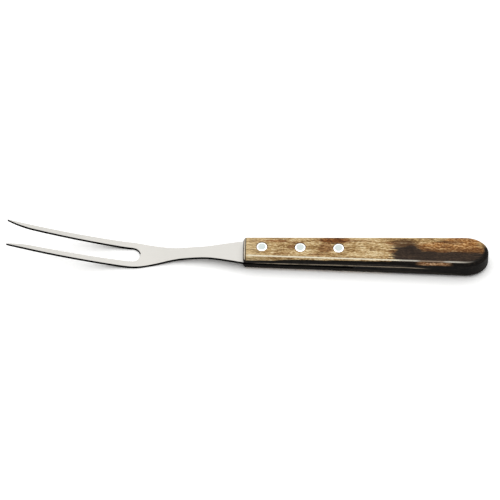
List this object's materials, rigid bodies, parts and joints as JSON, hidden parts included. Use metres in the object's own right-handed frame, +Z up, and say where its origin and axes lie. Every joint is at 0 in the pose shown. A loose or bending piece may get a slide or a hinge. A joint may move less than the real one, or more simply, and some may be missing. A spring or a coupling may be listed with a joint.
{
  "type": "roasting fork",
  "caption": "Roasting and carving fork: a bent, one-piece steel blade with long upturned tines, riveted into a slotted wooden handle.",
  "frame": {"origin": "centre of the overall box at table height; the fork lies on Z = 0 on the root of its tines and on the flat underside of its handle", "axes": "+X from the tine points to the butt of the handle, +Z up from the table, +Y to the left when looking from the tine points to the butt"},
  "size_m": [0.2986, 0.0216, 0.0239],
  "materials": {
    "blade_steel": "satin",
    "handle_wood": "lacquered, light tan faces with scorched dark brown edges",
    "rivet_aluminium": "satin"
  },
  "bodies": {
    "root": {"fork_blade": "blade_steel", "handle": "handle_wood", "rivet_front": "rivet_aluminium", "rivet_middle": "rivet_aluminium", "rivet_rear": "rivet_aluminium"}
  },
  "joints": []
}
